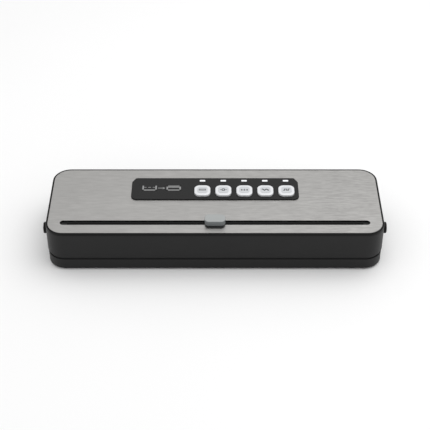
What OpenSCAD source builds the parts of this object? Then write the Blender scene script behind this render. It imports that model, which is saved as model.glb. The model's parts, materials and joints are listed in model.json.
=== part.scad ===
/* [Overall size] */
// Width of the lid, side to side
body_w = 381; // [378:1:384]
// Depth of the lid, front to back
body_d = 119; // [118:0.5:121]
// Corner radius of the lid in plan
corner_r = 20.5; // [19:0.5:22]
// Height of the base above its feet
base_h = 14.1; // [14:0.1:15]
// Open height of the seam between base and lid
seam_gap = 3.3; // [3:0.1:3.6]
// Height of the lid
lid_h = 34.9; // [34.5:0.1:37]
// Height of the rubber feet
foot_h = 1.5; // [1:0.1:2]

/* [Shells] */
// Wall thickness of the lid
lid_wall = 2.3; // [2:0.1:2.5]
// Wall thickness of the base
base_wall = 2.5; // [2:0.1:2.8]
// How far the base stands back under the lid
base_inset = 0.6; // [0.3:0.1:1]
// Width of the black bezel round the steel plate
bezel_w = 2.1; // [1.8:0.1:2.4]
// Height of the black bezel
bezel_h = 2.9; // [2.6:0.1:3]
// Thickness of the steel plate
steel_t = 0.5; // [0.4:0.1:0.8]

/* [Control panel] */
// Width of the panel
panel_w = 193.8; // [190:0.2:198]
// Depth of the panel
panel_d = 39.6; // [39:0.2:41]
// How far each cut rear corner runs along the rear edge
panel_cut_x = 4.8; // [4:0.1:6]
// How far each cut rear corner runs along the side
panel_cut_y = 8.3; // [7:0.1:9]
// Height of the panel above the steel
panel_rise = 1.65; // [1:0.05:2]
// Side of a square key
key_w = 18.3; // [17:0.1:19]
// Distance from one key to the next
key_pitch = 24.3; // [23:0.1:24.6]
// Height of a key above the panel
key_rise = 2.9; // [1.7:0.1:3.2]
// Travel of a key
key_travel = 0.8; // [0.4:0.1:0.8]

/* [Bag cutter] */
// Length of the cutter slot
slot_len = 349; // [345:1:350]
// Width of the cutter slot
slot_w = 7.7; // [7.4:0.1:8]
// Width of the cutter knob
knob_w = 23.4; // [20:0.2:26]
// Depth of the cutter knob
knob_d = 13.4; // [12:0.1:14.5]
// Height of the cutter knob above the steel
knob_h = 7.5; // [5:0.1:9]

/* [Release buttons] */
// Radius of a release button
release_r = 6.5; // [5.5:0.1:6.8]
// How far a release button stands out of the side
release_out = 3.6; // [3.4:0.1:5]

/* [Hidden] */
$fn = 48;

// Heights, counted up from the surface the sealer stands on
base_z0 = foot_h;
base_z1 = base_z0 + base_h;
lid_z0 = base_z1 + seam_gap;
lid_z1 = lid_z0 + lid_h;
bezel_z = lid_z1 - bezel_h;
deck_t = 2.4;
steel_z1 = lid_z1 - 0.15;
steel_z0 = steel_z1 - steel_t;
deck_z1 = steel_z0 - 0.05;
deck_z0 = deck_z1 - deck_t;
liner_t = 3;
liner_z1 = lid_z0 + liner_t;
base_deck_t = 2.5;
base_deck_z0 = base_z1 - base_deck_t;
cover_z0 = base_z0 + 0.2;
cover_z1 = cover_z0 + 2;

// Plan sizes
lid_in_w = body_w - 2 * lid_wall;
lid_in_d = body_d - 2 * lid_wall;
lid_in_r = corner_r - lid_wall;
base_w = body_w - 2 * base_inset;
base_d = body_d - 2 * base_inset;
base_r = corner_r - base_inset;
base_in_w = base_w - 2 * base_wall;
base_in_d = base_d - 2 * base_wall;
base_in_r = base_r - base_wall;

// Hinge along the rear edge
hinge_y = body_d / 2 - 4.1;
hinge_z = (base_z1 + lid_z0) / 2;
hinge_r = 3.4;
hinge_pin_r = 1.5;
hinge_bore_r = 1.55;
hinge_gap = 0.4;
knuckle_x = [104, 136];
barrel_end = 169;
pin_x = [93, 165];
rear_lift = hinge_r + 0.3;
rear_cut_x = 182.5;
liner_rear_y = hinge_y - 4.3;

// Vacuum chamber, gaskets and sealing line
chamber_y = 7;
chamber_w = 300;
chamber_d = 30;
chamber_r = 8;
chamber_floor_z = base_z0 + 5.5;
gasket_in = [308, 36, 10];
gasket_w = 6;
gasket_groove_z = base_z1 - 2.3;
gasket_mid_z = hinge_z;
gasket_fit = 0.1;
liner_groove_z = lid_z0 + 1.8;
seal_y = -23;
seal_w = 6;
seal_len = 310;

// Bag cutter
slot_y = -39.4;
cut_groove_w = 2.4;
cut_groove_len = 344;
cut_groove_z = base_z1 - 4;
liner_slot_w = 3.2;
liner_slot_len = 340;
rail_len = 338;
rail_in_y = 6.9;
rail_out_y = 8.4;
rail_lip_y = 5;
rail_z0 = deck_z0 - 7.4;
rail_lip_t = 1.6;
carriage_l = 15.6;
carriage_z0 = rail_z0 + rail_lip_t + 0.3;
holder_z0 = liner_z1 + 2.4;
blade_z0 = base_z1 - 2.2;
blade_z1 = holder_z0 + 6;
blade_w = 9;
blade_t = 0.6;
track_z = steel_z1 - 2;
slit_w = 1.8;
slit_len = 334;
knob_y = slot_y - 0.6;
knob_z0 = steel_z1 + 0.9;
knob_r = 5;
shoe_inset = 0.8;
shoe_front = 3;

// Side release buttons and latch hooks
release_y = -33.3;
release_z = lid_z1 - 12.4;
hook_t = 2.2;
hook_x0 = body_w / 2 - 9;
hook_w = 8;
hook_z0 = base_z0 + 8;
hook_z1 = release_z + 4.2;
barb_out = 1.8;
barb_h = 3.2;
catch_x = hook_x0 + hook_t + barb_out + 0.1;
spring_seat_x = hook_x0 - 8;
spring_r = 3;
spring_wire_r = 0.4;
spring_turns = 5;
spring_steps = 16;
spring_sides = 6;

// Control panel
panel_y = 20.5;
panel_r = 6.5;
panel_z1 = steel_z1 + panel_rise;
panel_lap = 0.7;
panel_edge = 1;
// The lines of the cut rear corners, carried on to a box one unit larger all round
cut_x1 = panel_w / 2 + 1;
cut_y1 = panel_d / 2 - panel_cut_y - panel_cut_y / panel_cut_x;
cut_x0 = panel_w / 2 - panel_cut_x - panel_cut_x / panel_cut_y;
cut_y2 = panel_d / 2 + 1;
panel_cuts = [[-cut_x1, -cut_y2], [cut_x1, -cut_y2], [cut_x1, cut_y1],
    [cut_x0, cut_y2], [-cut_x0, cut_y2], [-cut_x1, cut_y1]];
key_x0 = -14.6;
key_y = 14.6;
key_r = 6;
key_gap = 0.3;
key_z1 = panel_z1 + key_rise;
key_flange_z1 = steel_z0 - 0.1;
key_flange_z0 = key_flange_z1 - 1.5;
lens_y = 34.7;
lens_size = [6.5, 3];
lens_fit = 0.05;
board_t = 1.6;
board_z1 = deck_z0 - 6.4;
board_z0 = board_z1 - board_t;
board_x = key_x0 + 2 * key_pitch;
board_w = 152;
board_d = 40;
board_post = [71, 16.3];
switch_top_z = key_flange_z0 - 1.6;

// Fasteners
screw_r = 1.15;
pilot_r = 1.2;
head_r = 2.6;
head_h = 1.4;
base_screw_at = [[-165, -51], [0, -51], [165, -51], [-165, 42], [0, 42], [165, 42]];
liner_screw_at = [[-165, -52], [-60, -52], [60, -52], [165, -52], [-172, 22], [172, 22], [0, 46]];
foot_at = [[-148, -38], [148, -38], [-148, 38], [148, 38]];
foot_r = 7;

// Pump, power and valve
pump_y = 8;
pump_z = 35.5;
motor_r = 12;
motor_x = [-104, -70];
head_x = [-70, -46];
port_x = -30;
hose_r = 3.6;
hose_in_r = 2.25;
nipple_r = 2.2;
nipple_in_r = 1.2;
elbow_r = 8;
valve_x = 0;
wire_r = 0.9;
power_x = [-166, -110];
power_y = [-15, 33];
power_z = liner_z1 + 2.4;
inlet_x = -145;
inlet_z = 36;
inlet_out = [24, 14];
inlet_hole = 8;
inlet_depth = 12;
inlet_pitch = 8.6;

// ---------- Shared shapes ----------

// A rounded rectangle centred on the origin
module plan(w, d, r) {
    square([w - 2 * r, d], center = true);
    square([w, d - 2 * r], center = true);
    for (sx = [-1, 1], sy = [-1, 1])
        translate([sx * (w / 2 - r), sy * (d / 2 - r)]) circle(r);
}

// A rounded rectangle with a height from z0 to z1
module slab(w, d, r, z0, z1) {
    translate([0, 0, z0]) linear_extrude(z1 - z0) plan(w, d, r);
}

// A box given by its limits along each axis
module block(x, y, z) {
    translate([x[0], y[0], z[0]]) cube([x[1] - x[0], y[1] - y[0], z[1] - z[0]]);
}

// A section carried round a rounded rectangle: its x counts outward from the outline, its y is height
module rim(w, d, r) {
    for (i = [0 : 3]) {
        sx = (i == 0 || i == 3) ? 1 : -1;
        sy = i < 2 ? 1 : -1;
        translate([sx * (w / 2 - r), sy * (d / 2 - r), 0]) rotate([0, 0, 90 * i])
            rotate_extrude(angle = 90) translate([r, 0]) children();
    }
    for (a = [0, 180]) rotate([0, 0, a])
        translate([w / 2, 0, 0]) rotate([90, 0, 0]) linear_extrude(d - 2 * r, center = true) children();
    for (a = [90, 270]) rotate([0, 0, a])
        translate([d / 2, 0, 0]) rotate([90, 0, 0]) linear_extrude(w - 2 * r, center = true) children();
}

// The outward normal of an outline's edge, the outline being counter-clockwise
function edge_normal(points, i) = let (run = points[(i + 1) % len(points)] - points[i])
    [run[1], -run[0]] / norm(run);

// A convex outline drawn in from its edges
function drawn_in(points, inset) = [for (i = [0 : len(points) - 1]) let (
    a = edge_normal(points, (i + len(points) - 1) % len(points)),
    b = edge_normal(points, i)
) points[i] - inset * (a + b) / (1 + a * b)];

// A wall's section from -t to 0, with its outer edges rounded below and above
module wall_section(t, z0, z1, low_r, high_r) {
    difference() {
        translate([-t, z0]) square([t, z1 - z0]);
        difference() {
            translate([-low_r, z0 - 1]) square([low_r + 1, low_r + 1]);
            translate([-low_r, z0 + low_r]) circle(low_r);
            translate([-low_r - 1, z0 + low_r]) square([low_r + 1, 1]);
        }
        difference() {
            translate([-high_r, z1 - high_r]) square([high_r + 1, high_r + 1]);
            translate([-high_r, z1 - high_r]) circle(high_r);
        }
    }
}

// A flat ring between two rounded rectangles
module ring(w, d, r, t, z0, z1) {
    translate([0, 0, z0]) linear_extrude(z1 - z0) difference() {
        plan(w + 2 * t, d + 2 * t, r + t);
        plan(w, d, r);
    }
}

// A round-ended slot along X
module slot(len, w, z0, z1) {
    translate([0, 0, z0]) linear_extrude(z1 - z0) {
        square([len - w, w], center = true);
        for (s = [-1, 1]) translate([s * (len - w) / 2, 0]) circle(w / 2);
    }
}

// A pan-head screw pointing up from its head at z
module screw(z, len, r = screw_r, hr = head_r, hh = head_h) {
    difference() {
        union() {
            translate([0, 0, z]) cylinder(h = hh, r = hr);
            translate([0, 0, z + hh]) cylinder(h = len, r = r);
        }
        for (a = [0, 90]) rotate([0, 0, a])
            block([-0.6 * hr, 0.6 * hr], [-0.13 * hr, 0.13 * hr], [z - 1, z + 0.55 * hh]);
    }
}

// A round wire along a list of points, rounded at its bends
module wire(points, r = wire_r, $fn = 10) {
    for (i = [0 : len(points) - 2]) {
        run = points[i + 1] - points[i];
        length = norm(run);
        translate(points[i])
            rotate([0, acos(run[2] / length), atan2(run[1], run[0])]) cylinder(h = length, r = r);
    }
    for (i = [1 : len(points) - 2]) translate(points[i]) sphere(r);
}

// A helical spring along X
module coil_spring(x0, x1) {
    n = spring_turns * spring_steps;
    points = [for (i = [0 : n]) for (j = [0 : spring_sides - 1]) let (
        a = 360 * i / spring_steps,
        b = 360 * j / spring_sides,
        x = x0 + spring_wire_r + (x1 - x0 - 2 * spring_wire_r) * i / n + spring_wire_r * sin(b),
        r = spring_r + spring_wire_r * cos(b)
    ) [x, r * cos(a), r * sin(a)]];
    sides = [for (i = [0 : n - 1]) for (j = [0 : spring_sides - 1]) let (
        a = i * spring_sides + j,
        b = i * spring_sides + (j + 1) % spring_sides
    ) [a, b, b + spring_sides, a + spring_sides]];
    first = [for (j = [0 : spring_sides - 1]) spring_sides - 1 - j];
    last = [for (j = [0 : spring_sides - 1]) n * spring_sides + j];
    polyhedron(points = points, faces = concat(sides, [first, last]), convexity = 4);
}

// ---------- Base ----------

module hinge_barrel(x0, x1) {
    translate([x0, hinge_y, hinge_z]) rotate([0, 90, 0]) cylinder(h = x1 - x0, r = hinge_r);
}

module hinge_bore(x0, x1) {
    translate([x0, hinge_y, hinge_z]) rotate([0, 90, 0]) cylinder(h = x1 - x0, r = hinge_bore_r);
}

module base_shell() {
    rim(base_w, base_d, base_r) wall_section(base_wall, base_z0, base_z1, 2, 0.8);
    slab(base_in_w + 1, base_in_d + 1, base_in_r + 0.5, base_deck_z0, base_z1);
    // Locating lip just inside the seam, open along the hinge
    intersection() {
        ring(base_w - 5.2, base_d - 5.2, base_r - 2.6, 1.4, base_z1 - 0.5, lid_z0 - 0.3);
        block([-body_w, body_w], [-body_d, 44], [0, lid_z1]);
    }
    // Thicker floors below the gasket, the silicone strip, the cutting groove and the hinge
    translate([0, chamber_y, 0])
        slab(gasket_in[0] + 2 * gasket_w + 4, gasket_in[1] + 2 * gasket_w + 4, gasket_in[2] + gasket_w + 2,
            base_deck_z0 - 2, base_deck_z0 + 1);
    translate([0, seal_y, 0]) slab(seal_len + 4, seal_w + 4, 2, base_deck_z0 - 2, base_deck_z0 + 1);
    translate([0, slot_y, 0])
        slab(cut_groove_len + 4, cut_groove_w + 4, 2, base_deck_z0 - 3.2, base_deck_z0 + 1);
    block([-knuckle_x[1] - 30, knuckle_x[1] + 30], [hinge_y - 5, hinge_y + 1.5],
        [base_deck_z0 - 2.4, base_deck_z0 + 1]);
    // Chamber walls and floor
    translate([0, chamber_y, 0])
        slab(chamber_w + 4, chamber_d + 4, chamber_r + 2, chamber_floor_z - 2, base_deck_z0 + 1);
    for (p = base_screw_at) translate([p[0], p[1], cover_z1 + 2.6])
        cylinder(h = base_deck_z0 - cover_z1 - 2.1, r = 4);
}

module base_tray() color([0.16, 0.16, 0.16]) {
    difference() {
        union() {
            difference() {
                base_shell();
                translate([0, chamber_y, 0]) {
                    slab(chamber_w, chamber_d, chamber_r, chamber_floor_z, lid_z1);
                    ring(gasket_in[0], gasket_in[1], gasket_in[2], gasket_w, gasket_groove_z, lid_z0);
                }
                translate([0, seal_y, 0]) slab(seal_len, seal_w, 1, gasket_groove_z, lid_z0);
                translate([0, slot_y, 0]) slot(cut_groove_len, cut_groove_w, cut_groove_z, lid_z0);
                for (s = [-1, 1]) {
                    block([min(s * (hook_x0 - 4), s * catch_x), max(s * (hook_x0 - 4), s * catch_x)],
                        [release_y - 5.2, release_y + 5.2], [base_deck_z0 - 1, lid_z0]);
                    translate([s > 0 ? knuckle_x[0] : -knuckle_x[1], hinge_y, hinge_z]) rotate([0, 90, 0])
                        cylinder(h = knuckle_x[1] - knuckle_x[0], r = hinge_r + 0.4);
                }
                for (p = base_screw_at) translate([p[0], p[1], cover_z1]) cylinder(h = 10, r = pilot_r);
            }
            for (s = [0, 1]) mirror([s, 0, 0]) hinge_barrel(knuckle_x[1], barrel_end);
            hinge_barrel(-knuckle_x[0], knuckle_x[0]);
        }
        for (s = [0, 1]) mirror([s, 0, 0]) hinge_bore(pin_x[0] - 1, barrel_end + 1);
    }
}

module bottom_cover() color([0.14, 0.14, 0.14]) difference() {
    union() {
        slab(base_in_w - 0.4, base_in_d - 0.4, base_in_r - 0.2, cover_z0, cover_z1);
        for (p = base_screw_at) translate([p[0], p[1], cover_z1 - 0.5]) cylinder(h = 3, r = 4.2);
    }
    for (p = base_screw_at) translate([p[0], p[1], 0]) {
        cylinder(h = cover_z1 + 0.5, r = head_r + 0.3);
        cylinder(h = base_deck_z0, r = 1.5);
    }
    for (p = foot_at) translate([p[0], p[1], 0]) cylinder(h = cover_z0 + 0.6, r = foot_r + 0.2);
}

module rubber_feet() color([0.1, 0.1, 0.1]) for (p = foot_at) translate([p[0], p[1], 0]) {
    cylinder(h = 0.5, r1 = foot_r - 0.5, r2 = foot_r);
    translate([0, 0, 0.5]) cylinder(h = cover_z0 + 0.05, r = foot_r);
}

module lower_gasket() color([0.2, 0.2, 0.2]) translate([0, chamber_y, 0])
    ring(gasket_in[0] + 2 * gasket_fit, gasket_in[1] + 2 * gasket_fit, gasket_in[2] + gasket_fit,
        gasket_w - 2 * gasket_fit, gasket_groove_z, gasket_mid_z - 0.1);

module silicone_strip() color([0.72, 0.3, 0.22]) translate([0, seal_y, 0])
    slab(seal_len - 0.2, seal_w - 0.2, 0.9, gasket_groove_z, gasket_mid_z - 0.1);

module hinge_pins() color([0.75, 0.75, 0.76]) for (s = [0, 1]) mirror([s, 0, 0])
    translate([pin_x[0], hinge_y, hinge_z]) rotate([0, 90, 0])
        cylinder(h = pin_x[1] - pin_x[0], r = hinge_pin_r);

module latch_catches() color([0.7, 0.7, 0.7]) for (s = [0, 1]) mirror([s, 0, 0])
    block([catch_x, base_in_w / 2 - 0.05], [release_y - 5, release_y + 5],
        [base_deck_z0 - 2.4, base_deck_z0]);

module base_screws() color([0.6, 0.6, 0.6]) for (p = base_screw_at) translate([p[0], p[1], 0])
    screw(cover_z1 - 1, 8);

// ---------- Lid shells ----------

module lid_shell() {
    rim(body_w, body_d, corner_r) {
        wall_section(lid_wall, lid_z0, bezel_z, 0.8, 0.01);
        polygon([[-lid_wall + 0.2, bezel_z - 2.4], [-lid_wall + 0.2, bezel_z], [-bezel_w, bezel_z],
            [-bezel_w, deck_z1], [-lid_wall - 2.2, deck_z1], [-lid_wall - 2.2, deck_z0],
            [-lid_wall, bezel_z - 2.1]]);
    }
    slab(lid_in_w - 3, lid_in_d - 3, lid_in_r - 1.5, deck_z0, deck_z1);
    // Bosses for the liner screws
    for (p = liner_screw_at) translate([p[0], p[1], liner_z1]) cylinder(h = deck_z1 - liner_z1 - 1, r = 4);
    // Posts for the control board
    for (sx = [-1, 1], sy = [-1, 1])
        translate([board_x + sx * board_post[0], panel_y + sy * board_post[1], board_z1])
            cylinder(h = deck_z1 - board_z1 - 1, r = 2.5);
    // Seats for the latch springs
    for (s = [-1, 1])
        block([s * spring_seat_x - (s > 0 ? 1.8 : 0), s * spring_seat_x + (s > 0 ? 0 : 1.8)],
            [release_y - 3.2, release_y + 7], [release_z - 6, deck_z1 - 1]);
    // Shelf over the hinge
    intersection() {
        slab(lid_in_w + 1, lid_in_d + 1, lid_in_r + 0.5, liner_z1 + 0.1, liner_z1 + 2.1);
        block([-rear_cut_x, rear_cut_x], [liner_rear_y - 1, body_d], [0, lid_z1]);
    }
}

module lid_housing() color([0.18, 0.18, 0.18]) {
    difference() {
        union() {
            difference() {
                lid_shell();
                // Room for the hinge below the rear wall
                block([-rear_cut_x, rear_cut_x], [liner_rear_y - 3, body_d], [0, hinge_z + rear_lift]);
            }
            for (s = [-1, 1]) {
                k0 = s > 0 ? knuckle_x[0] + hinge_gap : -knuckle_x[1] + hinge_gap;
                k1 = s > 0 ? knuckle_x[1] - hinge_gap : -knuckle_x[0] - hinge_gap;
                hinge_barrel(k0, k1);
                block([k0, k1], [hinge_y - hinge_r, body_d / 2 - lid_wall], [hinge_z, liner_z1 + 1]);
            }
        }
        hinge_bore(-barrel_end, barrel_end);
        // Track of the cutter, with a slit for its neck
        translate([0, slot_y, 0]) {
            slot(slot_len + 1, slot_w + 0.6, track_z, lid_z1);
            slot(slit_len, slit_w, deck_z0 - 1, lid_z1);
        }
        // Window below the keys and lenses
        translate([board_x, panel_y + 1, 0]) slab(132, 35.4, 3, deck_z0 - 1, lid_z1);
        for (s = [0, 1]) mirror([s, 0, 0]) translate([body_w / 2 - lid_wall - 1, release_y, release_z])
            rotate([0, 90, 0]) cylinder(h = lid_wall + 2, r = release_r + 0.3);
        for (p = liner_screw_at) translate([p[0], p[1], liner_z1 - 1]) cylinder(h = 11, r = pilot_r);
        for (sx = [-1, 1], sy = [-1, 1])
            translate([board_x + sx * board_post[0], panel_y + sy * board_post[1], board_z1 - 1])
                cylinder(h = 6, r = 0.9);
        // Power inlet window
        block([inlet_x - inlet_out[0] / 2 - 0.1, inlet_x + inlet_out[0] / 2 + 0.1], [hinge_y, body_d],
            [inlet_z - inlet_out[1] / 2 - 0.1, inlet_z + inlet_out[1] / 2 + 0.1]);
        // Pump air outlet slots
        for (i = [0 : 5]) block([130 + 5 * i, 132 + 5 * i], [hinge_y, body_d], [inlet_z - 6, inlet_z + 6]);
    }
}

module top_bezel() color([0.12, 0.12, 0.12])
    rim(body_w - 0.2, body_d - 0.2, corner_r - 0.1)
        wall_section(bezel_w - 0.15, bezel_z + 0.05, lid_z1, 0.05, 1);

module steel_top_plate() color([0.68, 0.68, 0.67]) difference() {
    slab(body_w - 2 * bezel_w - 0.4, body_d - 2 * bezel_w - 0.4, corner_r - bezel_w - 0.2,
        steel_z0, steel_z1);
    translate([0, slot_y, 0]) slot(slot_len, slot_w, steel_z0 - 1, steel_z1 + 1);
    panel_slab(panel_lap, steel_z0 - 1, steel_z1 + 1);
}

// The space inside the panel's cut rear corners
module panel_corners(inset, z0, z1) {
    translate([0, panel_y, z0]) linear_extrude(z1 - z0) polygon(drawn_in(panel_cuts, inset));
}

// The panel's outline, drawn in by an inset, with a height from z0 to z1
module panel_slab(inset, z0, z1) {
    intersection() {
        translate([0, panel_y, 0])
            slab(panel_w - 2 * inset, panel_d - 2 * inset, panel_r - inset, z0, z1);
        panel_corners(inset, z0 - 1, z1 + 1);
    }
}

module control_panel() color([0.2, 0.2, 0.2]) difference() {
    union() {
        intersection() {
            translate([0, panel_y, 0]) {
                slab(panel_w - 2 * panel_edge, panel_d - 2 * panel_edge, panel_r - panel_edge,
                    steel_z1 + 0.01, panel_z1);
                rim(panel_w, panel_d, panel_r)
                    wall_section(panel_edge + 0.5, steel_z1 + 0.01, panel_z1, 0.01, 0.7);
            }
            panel_corners(0, steel_z0, key_z1);
        }
        panel_slab(panel_lap + 0.2, steel_z0, panel_z1 - 0.5);
    }
    for (i = [0 : 4]) translate([key_x0 + i * key_pitch, 0, 0]) {
        translate([0, key_y, 0])
            slab(key_w + 2 * key_gap, key_w + 2 * key_gap, key_r + key_gap, steel_z0 - 1, key_z1);
        translate([0, lens_y, 0]) slab(lens_size[0], lens_size[1], 0.8, steel_z0 - 1, key_z1);
    }
}

module indicator_lenses() color([0.92, 0.93, 0.94]) for (i = [0 : 4])
    translate([key_x0 + i * key_pitch, lens_y, 0])
        slab(lens_size[0] - 2 * lens_fit, lens_size[1] - 2 * lens_fit, 0.75, board_z1 + 2, panel_z1 + 0.15);

module lid_liner() color([0.2, 0.2, 0.2]) difference() {
    union() {
        intersection() {
            slab(lid_in_w - 0.4, lid_in_d - 0.4, lid_in_r - 0.2, lid_z0, liner_z1);
            block([-body_w, body_w], [-body_d, liner_rear_y], [0, lid_z1]);
        }
        translate([port_x, pump_y, liner_z1 - 0.5]) cylinder(h = 6, r = nipple_r);
        for (x = [power_x[0] + 4, power_x[1] - 4], y = [power_y[0] + 4, power_y[1] - 4])
            translate([x, y, liner_z1 - 0.5]) cylinder(h = 2.9, r = 2.5);
    }
    translate([0, chamber_y, 0]) {
        slab(chamber_w, chamber_d, chamber_r, 0, lid_z0 + 1);
        ring(gasket_in[0], gasket_in[1], gasket_in[2], gasket_w, 0, liner_groove_z);
    }
    translate([0, seal_y, 0]) slab(seal_len, seal_w, 1, 0, lid_z0 + 2);
    translate([0, slot_y, 0]) slot(liner_slot_len, liner_slot_w, 0, liner_z1 + 1);
    translate([port_x, pump_y, 0]) cylinder(h = lid_z1, r = nipple_in_r);
    translate([valve_x, pump_y, 0]) cylinder(h = liner_z1 + 1, r = nipple_in_r);
    for (s = [-1, 1]) {
        translate([s * (hook_x0 + 0.6), release_y, 0])
            block([-4.8, 4.8], [-5.6, 5.6], [0, liner_z1 + 1]);
        translate([s * 164, -26, 0]) cylinder(h = liner_z1 + 1, r = 1.6);
    }
    for (p = liner_screw_at) translate([p[0], p[1], 0]) {
        cylinder(h = lid_z0 + 1.6, r = head_r + 0.3);
        cylinder(h = liner_z1 + 1, r = 1.5);
    }
}

module upper_gasket() color([0.2, 0.2, 0.2]) translate([0, chamber_y, 0])
    ring(gasket_in[0] + 2 * gasket_fit, gasket_in[1] + 2 * gasket_fit, gasket_in[2] + gasket_fit,
        gasket_w - 2 * gasket_fit, gasket_mid_z + 0.1, liner_groove_z);

module liner_screws() color([0.6, 0.6, 0.6]) for (p = liner_screw_at) translate([p[0], p[1], 0])
    screw(lid_z0 + 0.2, 9);

// ---------- Heat seal ----------

module heater_bar() color([0.45, 0.3, 0.18]) translate([0, seal_y, 0])
    slab(seal_len - 0.4, seal_w - 0.4, 0.8, lid_z0 + 0.1, lid_z0 + 2);

module heating_element() color([0.75, 0.72, 0.68])
    block([-152, 152], [seal_y - 1.5, seal_y + 1.5], [lid_z0 - 0.25, lid_z0 + 0.1]);

module ptfe_tape() color([0.55, 0.4, 0.25])
    block([-153.5, 153.5], [seal_y - 3.6, seal_y + 3.6], [lid_z0 - 0.45, lid_z0 - 0.25]);

// ---------- Cutter ----------

module cutter_rails() color([0.3, 0.3, 0.3]) for (s = [0, 1]) translate([0, slot_y, 0]) mirror([0, s, 0]) {
    block([-rail_len / 2, rail_len / 2], [rail_in_y, rail_out_y], [rail_z0, deck_z0]);
    block([-rail_len / 2, rail_len / 2], [rail_lip_y, rail_in_y + 0.5], [rail_z0, rail_z0 + rail_lip_t]);
}

module cutter_knob() color([0.66, 0.69, 0.69]) translate([0, knob_y, 0]) {
    slab(knob_w - 4, knob_d - 4, knob_r - 2, knob_z0, steel_z1 + knob_h);
    rim(knob_w, knob_d, knob_r) wall_section(3, knob_z0, steel_z1 + knob_h, 0.6, 0.9);
}

module cutter_shoe() color([0.1, 0.1, 0.1]) {
    translate([0, knob_y - (shoe_front + shoe_inset) / 2, 0])
        slab(knob_w - 2 * shoe_inset, knob_d + shoe_front - shoe_inset, knob_r, steel_z1 + 0.2, knob_z0);
    translate([0, slot_y, 0]) {
        slab(14, slot_w - 0.8, 3, track_z + 0.3, steel_z1 + 0.7);
        block([-5.5, 5.5], [0.3 - slit_w / 2, slit_w / 2 - 0.3], [deck_z0 - 0.3, track_z + 1]);
    }
}

module cutter_carriage() color([0.25, 0.25, 0.25]) translate([0, slot_y, 0]) difference() {
    union() {
        slab(carriage_l, 2 * rail_in_y - 0.6, 1, carriage_z0, deck_z0 - 0.3);
        block([-5, 5], [-1.2, 1.2], [holder_z0, carriage_z0 + 1]);
    }
    block([-blade_w / 2 - 0.1, blade_w / 2 + 0.1], [-blade_t / 2, blade_t / 2], [0, blade_z1]);
}

module cutter_blade() color([0.8, 0.8, 0.82]) translate([0, slot_y + blade_t / 2, 0]) rotate([90, 0, 0])
    linear_extrude(blade_t) polygon([[-blade_w / 2, blade_z1], [blade_w / 2, blade_z1],
        [blade_w / 2, blade_z0 + 5], [0, blade_z0], [-blade_w / 2, blade_z0 + 5]]);

// ---------- Keys and control board ----------

module control_board() color([0.1, 0.35, 0.2]) difference() {
    block([board_x - board_w / 2, board_x + board_w / 2], [panel_y - board_d / 2, panel_y + board_d / 2],
        [board_z0, board_z1]);
    for (sx = [-1, 1], sy = [-1, 1])
        translate([board_x + sx * board_post[0], panel_y + sy * board_post[1], board_z0 - 1])
            cylinder(h = board_t + 2, r = 1.1);
}

module board_screws() color([0.6, 0.6, 0.6]) for (sx = [-1, 1], sy = [-1, 1])
    translate([board_x + sx * board_post[0], panel_y + sy * board_post[1], 0])
        screw(board_z0 - 1, board_t + 4, 0.85, 2, 1);

module key_switches() color([0.15, 0.15, 0.15]) for (i = [0 : 4])
    translate([key_x0 + i * key_pitch, key_y, 0]) {
        block([-3, 3], [-3, 3], [board_z1, board_z1 + 3.2]);
        translate([0, 0, board_z1 + 3]) cylinder(h = switch_top_z - key_travel - board_z1 - 3.1, r = 1.7);
    }

module indicator_leds() color([0.95, 0.95, 0.85]) for (i = [0 : 4])
    translate([key_x0 + i * key_pitch, lens_y, 0])
        block([-1.6, 1.6], [-0.9, 0.9], [board_z1, board_z1 + 1.2]);

module key(i) color([0.9, 0.91, 0.92]) translate([key_x0 + i * key_pitch, key_y, 0]) {
    slab(key_w - 3, key_w - 3, key_r - 1.5, key_flange_z0, key_z1);
    rim(key_w, key_w, key_r) wall_section(2.5, key_flange_z0, key_z1, 0.01, 1.3);
    slab(key_w + 1.6, key_w + 1.6, key_r + 0.8, key_flange_z0, key_flange_z1);
    translate([0, 0, switch_top_z]) cylinder(h = key_flange_z0 - switch_top_z + 0.5, r = 2);
}

module seal_key() key(0);
module dry_key() key(1);
module moist_key() key(2);
module gentle_key() key(3);
module pulse_key() key(4);

// ---------- Pump, valve and power ----------

module pump_motor() color([0.7, 0.7, 0.7]) {
    translate([motor_x[0], pump_y, pump_z]) rotate([0, 90, 0])
        cylinder(h = motor_x[1] - motor_x[0], r = motor_r);
    translate([motor_x[0] - 3, pump_y, pump_z]) rotate([0, 90, 0]) cylinder(h = 3.5, r = 4);
}

module pump_head() color([0.15, 0.15, 0.15]) difference() {
    union() {
        block(head_x, [pump_y - 13.5, pump_y + 13.5], [pump_z - 13, pump_z + 13]);
        translate([head_x[1] - 0.5, pump_y, pump_z]) rotate([0, 90, 0]) cylinder(h = 6.5, r = nipple_r);
    }
    translate([head_x[1] - 4, pump_y, pump_z]) rotate([0, 90, 0]) cylinder(h = 12, r = nipple_in_r);
}

module pump_strap() color([0.6, 0.6, 0.6]) translate([motor_x[0] + 12, pump_y, 0]) {
    difference() {
        union() {
            translate([0, 0, pump_z]) rotate([0, 90, 0]) cylinder(h = 9, r = motor_r + 1.6);
            block([0, 9], [-motor_r - 1.6, motor_r + 1.6], [liner_z1 + 0.05, pump_z]);
            block([0, 9], [-motor_r - 9, motor_r + 9], [liner_z1 + 0.05, liner_z1 + 1.6]);
        }
        translate([-1, 0, pump_z]) rotate([0, 90, 0]) cylinder(h = 11, r = motor_r + 0.05);
        block([-1, 10], [-motor_r - 0.05, motor_r + 0.05], [0, pump_z]);
    }
}

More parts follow.
